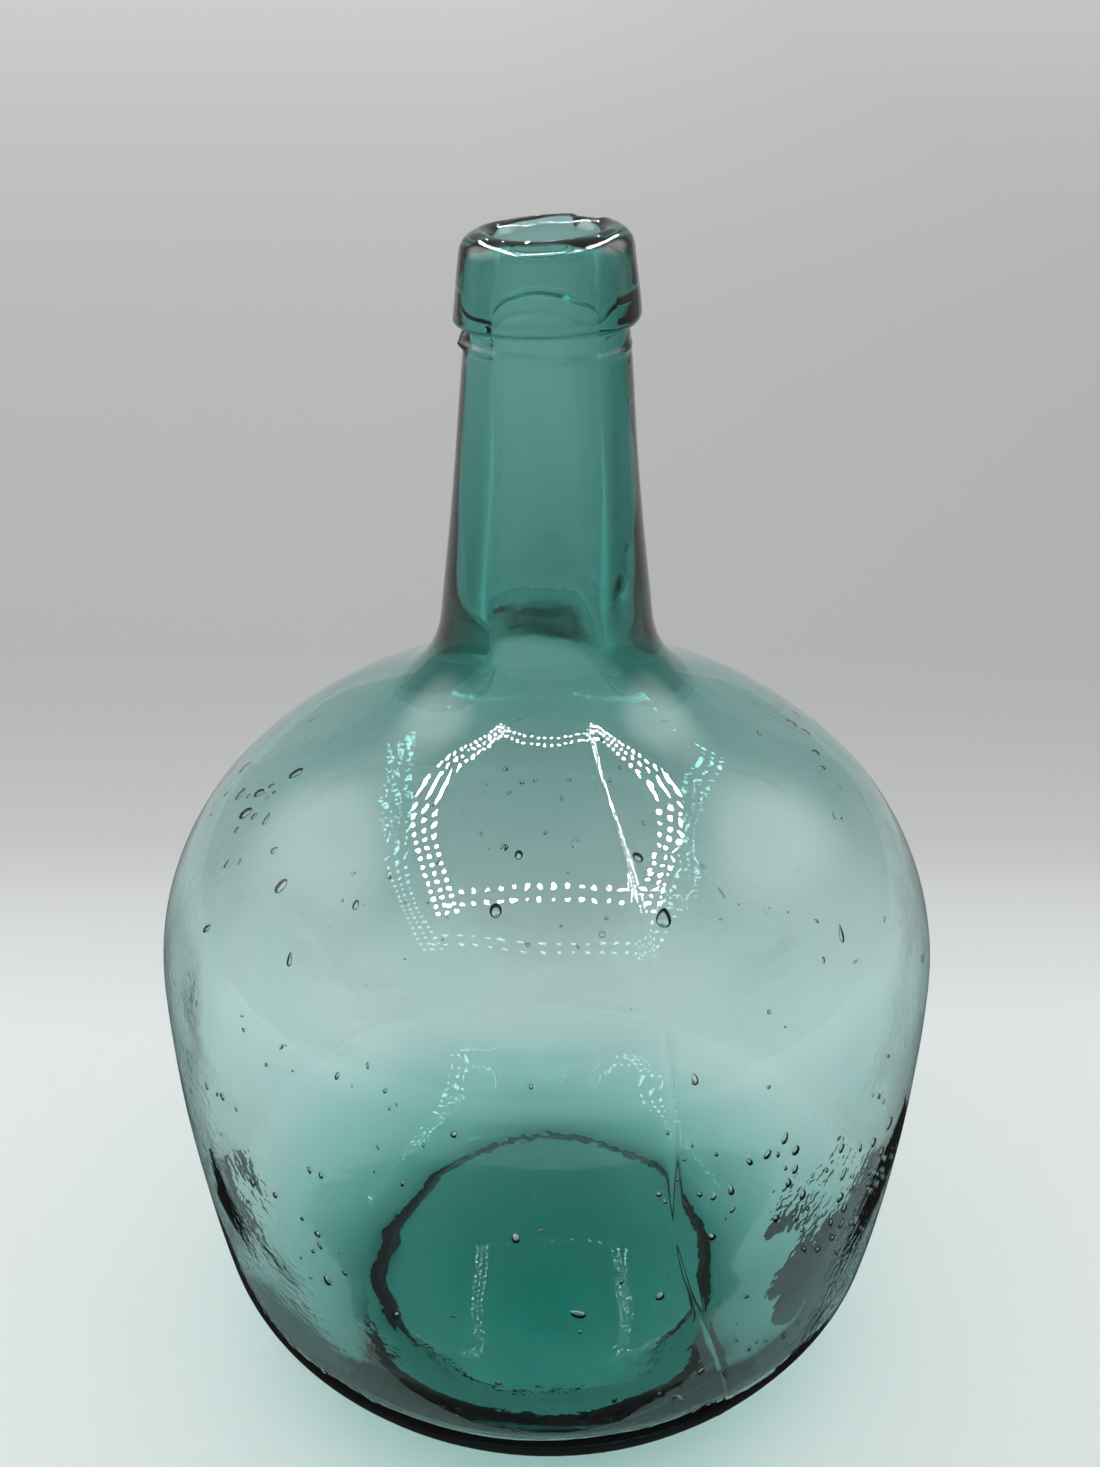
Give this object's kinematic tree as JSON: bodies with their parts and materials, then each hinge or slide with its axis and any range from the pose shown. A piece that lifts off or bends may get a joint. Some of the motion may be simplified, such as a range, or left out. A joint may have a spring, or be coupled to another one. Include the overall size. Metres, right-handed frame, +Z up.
{
  "type": "glass carboy",
  "caption": "Small blue-green glass carboy with a round body, pushed-up base, long tapering neck and an open mouth in a thick collar.",
  "frame": {"origin": "on the carboy's axis, in the plane of the ring that it rests on", "axes": "+Z up along the axis to the mouth; -Y towards the side seen in the picture, +X to the right of that view"},
  "size_m": [0.158, 0.158, 0.245],
  "materials": {
    "glass": "clear seedy blue-green bottle glass, glossy, pale in the thin body wall and deep teal in the neck and base"
  },
  "bodies": {
    "root": {"blown_vessel": "glass", "applied_lip": "glass"}
  },
  "joints": []
}
